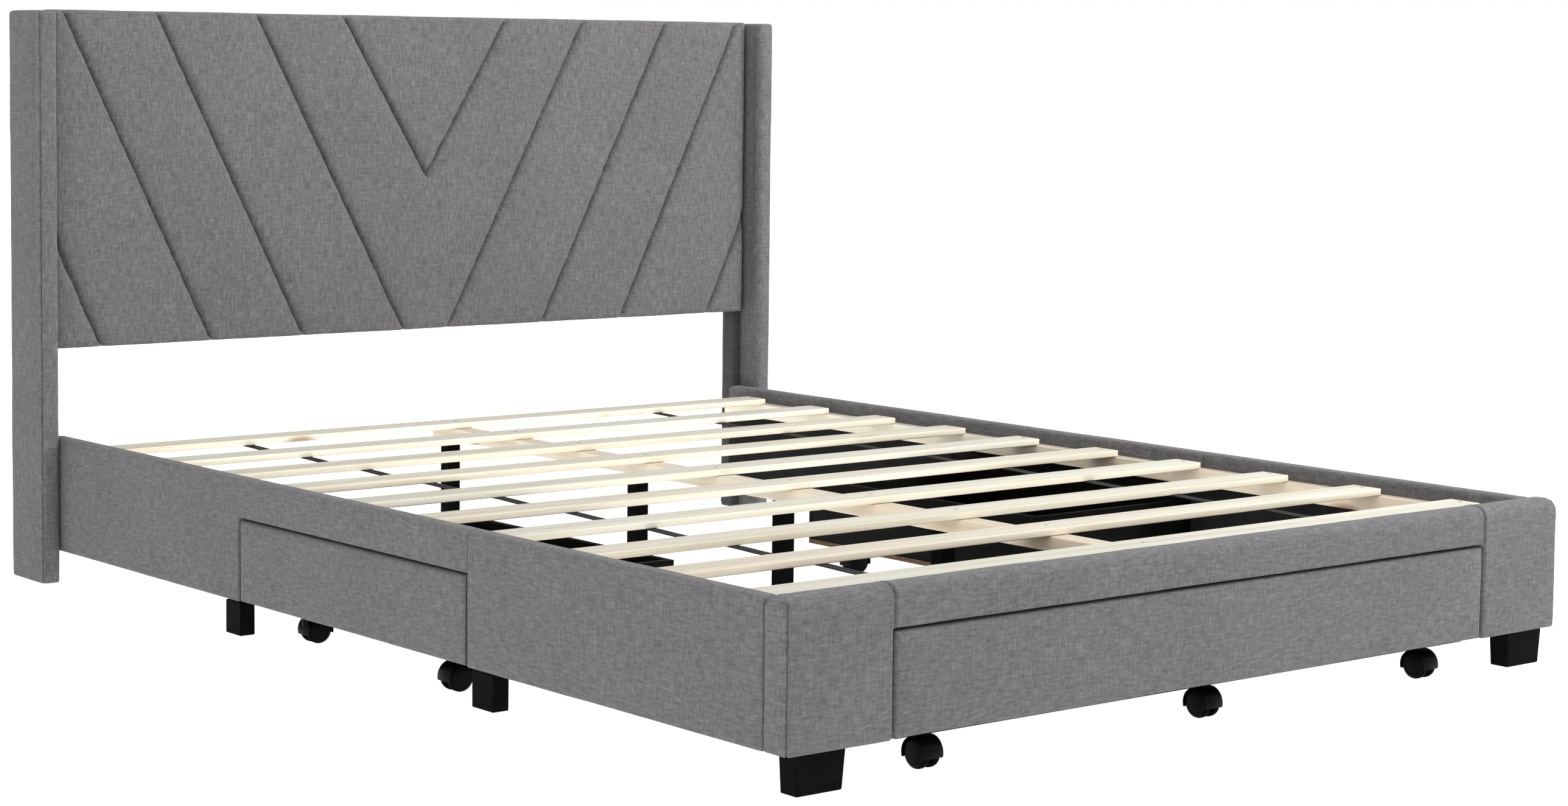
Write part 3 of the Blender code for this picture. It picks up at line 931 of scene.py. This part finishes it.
def build_drawer_front(name):
    """A padded board with soft edges; a side drawer's end faces take the darker linen, painted
    shade for the gaps at its ends.
    """
    node_name = f"{name}_front"
    low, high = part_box(node_name)
    axis, side = DRAWERS[name]
    face = low[axis] if side < 0 else high[axis]
    if axis == 0:
        low.y += END_GAP
        high.y -= END_GAP / 2

    def width(a, b):
        if max(abs(a[axis] - face), abs(b[axis] - face)) > TOUCH:
            return DRAWER_EDGES["back"]
        return DRAWER_EDGES["top" if max(a.z, b.z) > high.z - TOUCH else "side"]

    mesh = rounded(block(low, high), width, 5)
    cut_grid(mesh, GRID)
    swell = cushion(axis, side, low, high, DRAWER_SWELL)
    displaced(mesh, lambda p, n: swell(p, n) + unevenness(p, 0.0006))
    for face in mesh.faces:
        if face.normal[axis] * side < -0.7:
            face.material_index = 1
        # End faces of a side drawer's front take the darker linen: painted shade in the gaps beside
        # the front
        elif abs(face.normal[1 - axis]) > 0.8 and axis == 0:
            face.material_index = 2
    extra = ("lining", "shaded")
    finish_upholstery(f"{node_name}_cover", mesh, name, node_name, extra)


# ======== Headboard panel ========


def chevron_lines():
    """Every seam of both halves, as pairs of (x, z) points."""
    lines = []
    for top, bottom in CHEVRON:
        for side in (-1, 1):
            lines.append((Vector((side * top[0], top[1])), Vector((side * bottom[0], bottom[1]))))
    return lines


def to_line(place, line):
    """Distance from a place to a seam, and how many metres along the seam it is."""
    start, end = line
    along = min(1.0, max(0.0, closest(place, start, end)[1]))
    nearest = start + (end - start) * along
    return (place - nearest).length, along * (end - start).length


def cut_chevrons(mesh, lines, front):
    """Divides the front of the panel along each seam and beside it, and finely along its length."""
    offsets = (0.0, 0.0012, 0.0026, 0.0042, 0.0060, 0.0080, 0.0120, 0.0190, 0.0280)
    for line in lines:
        span = (line[1] - line[0]).normalized()
        normal = Vector((span.y, 0.0, -span.x))
        near = []
        for face in mesh.faces:
            middle = face.calc_center_median()
            if middle.y < front + 0.02 and to_line(Vector((middle.x, middle.z)), line)[0] < 0.06:
                near.append(face)
        for offset in offsets:
            for side in (-1, 1) if offset else (1,):
                point = Vector((line[0].x, 0.0, line[0].y)) + normal * side * offset
                near = cut(mesh, point, normal, [face for face in near if face.is_valid])
        strips = []
        for edge in mesh.edges:
            a, b = ends(edge)
            if max(a.y, b.y) > front + 0.004 or edge.calc_length() < 0.008:
                continue
            if abs((b - a).normalized().dot(Vector((span.x, 0.0, span.y)))) < 0.98:
                continue
            if max(to_line(Vector((c.x, c.z)), line)[0] for c in (a, b)) < 0.0125:
                strips.append(edge)
        bmesh.ops.subdivide_edges(mesh, edges=strips, cuts=3, use_grid_fill=True)


def panel_height(lines, low, high):
    """How the foam swells between the seams, and the cloth puckers along them."""
    rise = swelled((low.x, low.z), (high.x, high.z), PANEL_SWELL, lines)

    def height(p, n):
        facing = min(1.0, max(0.0, -1.4 * n.y))
        if facing == 0.0:
            return 0.0
        flat = Vector((p.x, p.z))
        pull = 0.0
        lip = 0.0
        for index, line in enumerate(lines):
            distance, along = to_line(flat, line)
            if distance > 0.045:
                continue
            side = 1.0 if (flat - line[0]).cross(line[1] - line[0]) > 0 else -1.0
            pucker = noise.noise(Vector((along * 52.0, index * 5.3, side * 2.0)))
            crease = hollow(distance, CHANNEL_WIDTH, CHANNEL_DEPTH)
            shoulder = hollow(distance, SHOULDER_WIDTH, SHOULDER_DEPTH) * (1.0 + 0.5 * pucker)
            pull = min(pull, crease + shoulder)
            raised = 1.0 if side > 0 and line[0].x < line[1].x else 0.3
            ridge = math.exp(-(((distance - LIP_PLACE) / LIP_WIDTH) ** 2))
            lip = max(lip, LIP_HEIGHT * raised * (1.0 + 0.4 * pucker) * ridge)
        return facing * (rise(p.x, p.z) + pull + lip) + unevenness(p, 0.0007)

    return height


def build_panel():
    """The padded panel, its slanting channels sewn through the foam."""
    low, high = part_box("headboard_panel")
    lines = chevron_lines()

    def width(a, b):
        if max(a.y, b.y) > low.y + TOUCH:
            return PANEL_EDGES["back"]
        return PANEL_EDGES["upright" if vertical(a, b) else "level"]

    inset = Vector((PANEL_GAP, 0.0, 0.0))
    mesh = rounded(block(low + inset, high - inset), width, 6)
    cut_grid(mesh, PANEL_CELL)
    cut_chevrons(mesh, lines, low.y)
    displaced(mesh, panel_height(lines, low, high))
    surface = BVHTree.FromBMesh(mesh)
    finish_upholstery(
        "headboard_panel_cover", mesh, "frame", "headboard_panel", lengthwise=False
    )
    build_stitches(surface, lines, low)


def build_stitches(surface, lines, low):
    """Short threads that lie at the bottom of each channel."""
    mesh = bmesh.new()
    for start, end in lines:
        length = (end - start).length
        span = Vector((end.x - start.x, 0.0, end.y - start.y)) / length
        across = Vector((span.z, 0.0, -span.x))
        for k in range(int(length / STITCH_PITCH)):
            flat = start + (end - start) * ((k + 0.5) * STITCH_PITCH / length)
            hit = surface.ray_cast(Vector((flat.x, low.y - 0.05, flat.y)), Vector((0, 1, 0)))[0]
            if hit is None or abs(flat.x) > -low.x - 0.008:
                continue
            stitch(mesh, hit, span, across)
    finish_piece("headboard_stitching", mesh, ("thread",), angle=60)


def stitch(mesh, place, span, across):
    """One thread, thickest in its middle."""
    out = Vector((0.0, -1.0, 0.0))
    rings = []
    for step, radius, rise in ((-0.5, 0.0003, 0.0), (0.0, 0.0005, 0.0003), (0.5, 0.0003, 0.0)):
        centre = place + span * step * STITCH + out * rise
        directions = (across, out, -across, -out)
        rings.append([mesh.verts.new(centre + way * radius) for way in directions])
    capped(mesh, rings)


# ======== Deck ========


def bevel_cad(node_name, width, material):
    """A CAD node keeps its own mesh, with its edges eased and a material of its own."""
    obj = frame["nodes"][node_name]
    weld = obj.modifiers.new("Joined corners", "WELD")
    weld.merge_threshold = 0.00002
    bevel = obj.modifiers.new("Eased edges", "BEVEL")
    bevel.width = width
    bevel.segments = 2
    bevel.limit_method = "ANGLE"
    for slot in obj.material_slots:
        slot.material = MATERIALS[material]


def slat_names():
    return sorted(n for n in frame["nodes"] if n.startswith("slat_") and "strap" not in n)


def build_slats():
    """Planed slats, each a little bowed and with softened edges."""
    for i, name in enumerate(slat_names()):
        low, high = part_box(name)
        mesh = rounded(block(low, high), lambda a, b: 0.0018, 3)
        cut_grid_axis(mesh, 0, 0.12)
        for vert in mesh.verts:
            wave = noise.noise(Vector((vert.co.x * 0.9, i * 7.3, 0.0)))
            vert.co.y += 0.0015 * wave
        tint = SLAT_TINTS[i % len(SLAT_TINTS)]
        finish_piece(f"{name}_board", mesh, (tint,), (name,))


def screw_head(mesh, x, y, z):
    """A low screw head with a small recess in its middle."""
    rings = []
    for share, rise in ((1.0, 0.0002), (0.92, 0.0005), (0.30, 0.0006)):
        ring = []
        for k in range(SCREW_STEPS):
            angle = math.tau * k / SCREW_STEPS
            across = SCREW_RADIUS * share * math.cos(angle)
            along = SCREW_RADIUS * share * math.sin(angle)
            ring.append(mesh.verts.new((x + across, y + along, z + rise)))
        rings.append(ring)
    bridge(mesh, rings)
    centre = mesh.verts.new((x, y, z - 0.0008))
    for k in range(SCREW_STEPS):
        mesh.faces.new((ring[k], ring[(k + 1) % SCREW_STEPS], centre))


def build_screws():
    """Each slat is screwed down at both ends and over the centre beam."""
    mesh = bmesh.new()
    for name in slat_names():
        low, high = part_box(name)
        for x in (low.x + SCREW_INSET, 0.0, high.x - SCREW_INSET):
            screw_head(mesh, x, (low.y + high.y) / 2, high.z)
    finish_piece("slat_screws", mesh, ("zinc",), angle=30)


def build_straps():
    """Tape stapled under each slat, sagging a little between them."""
    slats = [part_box(name) for name in slat_names()]
    centres = [(a.y + b.y) / 2 for a, b in slats]
    for label, _ in SIDES:
        node_name = f"slat_strap_{label}"
        low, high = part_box(node_name)
        corners = ((low.x, high.z), (high.x, high.z), (high.x, low.z), (low.x, low.z))
        mesh = bmesh.new()
        rings = []
        for k in range(STRAP_STEPS + 1):
            y = low.y + (high.y - low.y) * k / STRAP_STEPS
            nearest = min(abs(y - c) for c in centres)
            free = min(1.0, max(0.0, nearest - 0.03) / 0.073)
            sag = STRAP_SAG * (1 - math.cos(math.pi * free)) / 2
            shift = 0.0012 * noise.noise(Vector((y * 4.0, low.x, 0.0)))
            rings.append([mesh.verts.new((x + shift, y, z - sag)) for x, z in corners])
        capped(mesh, rings)
        bmesh.ops.recalc_face_normals(mesh, faces=mesh.faces)
        finish_piece(f"{node_name}_tape", mesh, ("webbing",), (node_name,))


def finish_frame_nodes():
    for name in ("ledger_left", "ledger_right", "centre_beam"):
        bevel_cad(name, 0.0015, "timber")
    for i in range(1, 5):
        bevel_cad(f"centre_leg_{i}", 0.001, "leg")
    for label, _ in SIDES:
        for part in ("foot", "middle", "head"):
            bevel_cad(f"{part}_leg_{label}", 0.001, "foot")


# ======== Drawers ========


def build_drawer_box(name):
    """Four black walls on a bottom board, whose raw edge shows all round but at the front."""
    node_name = f"{name}_box"
    low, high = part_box(node_name)
    axis, side = DRAWERS[name]
    cross = 1 - axis
    mesh = block(low, (high.x, high.y, low.z + BOX_BOTTOM))
    mesh = rounded(mesh, lambda a, b: 0.0006, 1)
    for face in mesh.faces:
        if abs(face.normal.z) < 0.5 and face.normal[axis] * side < 0.5:
            face.material_index = 1
    floor_top = low.z + BOX_BOTTOM + BOX_GAP
    for end in (0, 1):
        for way, inset in ((cross, 0.0), (axis, BOX_WALL + BOX_GAP)):
            a, b = low.copy(), high.copy()
            a.z = floor_top
            if end:
                a[way] = high[way] - BOX_WALL
            else:
                b[way] = low[way] + BOX_WALL
            a[1 - way] += inset
            b[1 - way] -= inset
            add_mesh(mesh, rounded(block(a, b), lambda p, q: 0.0008, 2))
    materials = ("drawer", "raw")
    finish_piece(f"{node_name}_boards", mesh, materials, (node_name,), body=name)


# ======== Casters ========


def turned(profile, steps):
    """An (along, radius) profile turned about the y axis."""
    mesh = bmesh.new()
    rings = []
    for along, radius in profile:
        angles = (math.tau * k / steps for k in range(steps))
        rings.append(
            [mesh.verts.new((radius * math.cos(a), along, radius * math.sin(a))) for a in angles]
        )
    capped(mesh, rings)
    bmesh.ops.recalc_face_normals(mesh, faces=mesh.faces)
    return mesh


def wheel_profile(radius):
    """Both wheels and their axle: rubber tread, a lipped rim, and a raised hub cap outside."""
    half = [
        (0.0045, 0.0025),
        (0.0045, radius - 0.0020),
        (0.0052, radius - 0.0006),
        (0.0064, radius),
        (0.0116, radius),
        (0.0138, radius - 0.0007),
        (0.0154, radius - 0.0022),
        (0.0163, radius - 0.0044),
        (0.0166, radius - 0.0062),
        (0.0160, radius - 0.0066),
        (0.0160, radius - 0.0078),
        (0.0168, radius - 0.0084),
        (0.0174, radius - 0.0115),
        (0.0176, radius - 0.0150),
        (0.0176, 0.0022),
    ]
    return [(-y, r) for y, r in reversed(half)] + half


def as_object(mesh, matrix=None):
    if matrix is not None:
        bmesh.ops.transform(mesh, matrix=matrix, verts=mesh.verts)
    return linked("shape", as_data("shape", mesh))


def boolean(base, operation, mesh, matrix=None):
    tool = as_object(mesh, matrix)
    modifier = base.modifiers.new(operation, "BOOLEAN")
    modifier.operation = operation
    modifier.object = tool
    made = evaluated(base)
    bpy.data.objects.remove(tool, do_unlink=True)
    return as_object(made)


def caster_shapes():
    """The housing and the wheels about the swivel axis, trailing towards -x."""
    low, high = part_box("foot_drawer_caster_1_wheels")
    radius = (high.z - low.z) / 2
    housing_low, housing_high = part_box("foot_drawer_caster_1_housing")
    joints = {joint["name"]: joint for joint in frame["joints"]}
    roll, swivel = (joints[f"foot_drawer_caster_1_{turn}"] for turn in ("roll", "swivel"))
    trail = abs(roll["pos_m"][1] - swivel["pos_m"][1])
    top = housing_high.z
    axle = Matrix.Translation((-trail, 0, radius))
    outline = [(-y, r) for y, r in HOOD_RIM] + [(y, r) for y, r in reversed(HOOD_RIM)]
    hood = as_object(turned(outline, HOOD_STEPS), axle)
    upright = Matrix.Rotation(math.pi / 2, 4, "X")
    stem_profile = ((-0.0110, 0.0105), (0.0080, 0.0105), (0.0092, 0.0092), (0.0108, 0.0088))
    stem = turned(stem_profile, 32)
    hood = boolean(hood, "UNION", stem, Matrix.Translation((0, 0, top - 0.0110)) @ upright)
    for side in (-1, 1):
        space = turned(((-0.012, HOOD_INSIDE), (0.012, HOOD_INSIDE)), HOOD_STEPS)
        hood = boolean(hood, "DIFFERENCE", space, axle @ Matrix.Translation((0, side * 0.0148, 0)))
    size = 0.1
    tilt = Matrix.Translation((-trail, 0, HOOD_MOUTH)) @ Matrix.Rotation(math.radians(3), 4, "Y")
    below = block((-size / 2, -size / 2, -size), (size / 2, size / 2, 0))
    hood = boolean(hood, "DIFFERENCE", below, tilt)
    bevel = hood.modifiers.new("Moulded edges", "BEVEL")
    bevel.width = 0.0005
    bevel.segments = 2
    bevel.limit_method = "ANGLE"
    bevel.angle_limit = math.radians(40)
    shape = evaluated(hood)
    low_corner = (-PLATE_HALF, -PLATE_HALF, top - PLATE_THICKNESS)
    plate = rounded(block(low_corner, (PLATE_HALF, PLATE_HALF, top)), plate_rounding, 4)
    add_mesh(shape, plate)
    wheel = turned(wheel_profile(radius), WHEEL_STEPS)
    for face in wheel.faces:
        middle = face.calc_center_median()
        if abs(middle.y) < 0.0150:
            face.material_index = 1
    bmesh.ops.transform(wheel, matrix=axle, verts=wheel.verts)
    return as_data("caster_housing", shape), as_data("caster_wheels", wheel)


def plate_rounding(a, b):
    return 0.004 if vertical(a, b) else 0.0003


def build_casters():
    housing, wheels = caster_shapes()
    housing.materials.append(MATERIALS["plastic"])
    wheels.materials.append(MATERIALS["plastic"])
    wheels.materials.append(MATERIALS["tread"])
    smooth(housing, 30)
    smooth(wheels, 40)
    for joint in frame["joints"]:
        if not joint["name"].endswith("_swivel"):
            continue
        name = joint["name"].removesuffix("_swivel")
        x, y, _ = joint["pos_m"]
        split = f"{name}_wheels" in frame["nodes"]
        hood_node, wheel_node = (f"{name}_housing", f"{name}_wheels") if split else (name, name)
        low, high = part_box(wheel_node)
        turn = math.atan2(2 * y - low.y - high.y, 2 * x - low.x - high.x)
        place = Matrix.Translation((x, y, 0)) @ Matrix.Rotation(turn, 4, "Z")
        wheel_body = wheel_node if split else joint["child"]
        add_caster_part(f"{name}_hood", housing, place, joint["child"], hood_node)
        add_caster_part(f"{name}_twin_wheels", wheels, place, wheel_body, wheel_node)


def add_caster_part(name, mesh, place, body, node_name):
    obj = linked(name, mesh)
    obj.matrix_world = place
    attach(obj, body)
    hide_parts(node_name)


# ======== Stage ========


def build_stage():
    """A pale floor with a glow of its own, which brings it up to white in the picture."""
    floor = bmesh.new()
    bmesh.ops.create_grid(floor, x_segments=1, y_segments=1, size=30.0)
    obj = linked("floor", as_data("floor", floor))
    material, tree, shader = new_material("pale_floor")
    inputs = {"Base Color": (0.5, 0.5, 0.5, 1.0), "Roughness": 0.9, "Specular IOR Level": 0.0}
    feed(tree, shader, inputs)
    feed(tree, shader, {"Emission Color": (1.0, 1.0, 1.0, 1.0), "Emission Strength": FLOOR_GLOW})
    obj.data.materials.append(material)
    obj.location.z = -0.0005


def build_lights():
    world = bpy.data.worlds.new("studio")
    world.use_nodes = True
    background = world.node_tree.nodes["Background"]
    background.inputs["Color"].default_value = (1.0, 1.0, 1.0, 1.0)
    background.inputs["Strength"].default_value = 1.0
    bpy.context.scene.world = world
    add_softbox("key", (2.9, -2.1, 2.6), 1.2, 128.0)
    add_softbox("top", (0.2, -0.4, 4.0), 2.2, 62.0)
    add_softbox("fill", (-3.2, -1.0, 0.5), 0.8, 12.0)


def add_softbox(name, place, size, power):
    light = bpy.data.lights.new(name, "AREA")
    light.shape = "SQUARE"
    light.size = size
    light.energy = power
    obj = linked(name, light)
    obj.location = place
    obj.rotation_euler = (Vector((0, 0, 0.3)) - Vector(place)).to_track_quat("-Z", "Y").to_euler()


def build_camera():
    data = bpy.data.cameras.new("camera")
    data.sensor_width = SENSOR_WIDTH
    data.lens = FOCAL_LENGTH
    data.shift_x, data.shift_y = LENS_SHIFT
    data.clip_start, data.clip_end = 0.05, 200.0
    camera = linked("camera", data)
    camera.location = CAMERA_PLACE
    camera.rotation_euler = tuple(math.radians(a) for a in CAMERA_TURN)
    bpy.context.scene.camera = camera
    bpy.context.scene.view_settings.view_transform = "Standard"


def main():
    build_camera()
    build_stage()
    build_lights()
    build_rails()
    build_stop_and_shade_strips()
    build_footboard()
    build_wings()
    build_panel()
    build_slats()
    build_screws()
    build_straps()
    build_back()
    finish_frame_nodes()
    for name in DRAWERS:
        build_drawer_front(name)
        build_drawer_box(name)
    build_casters()


main()
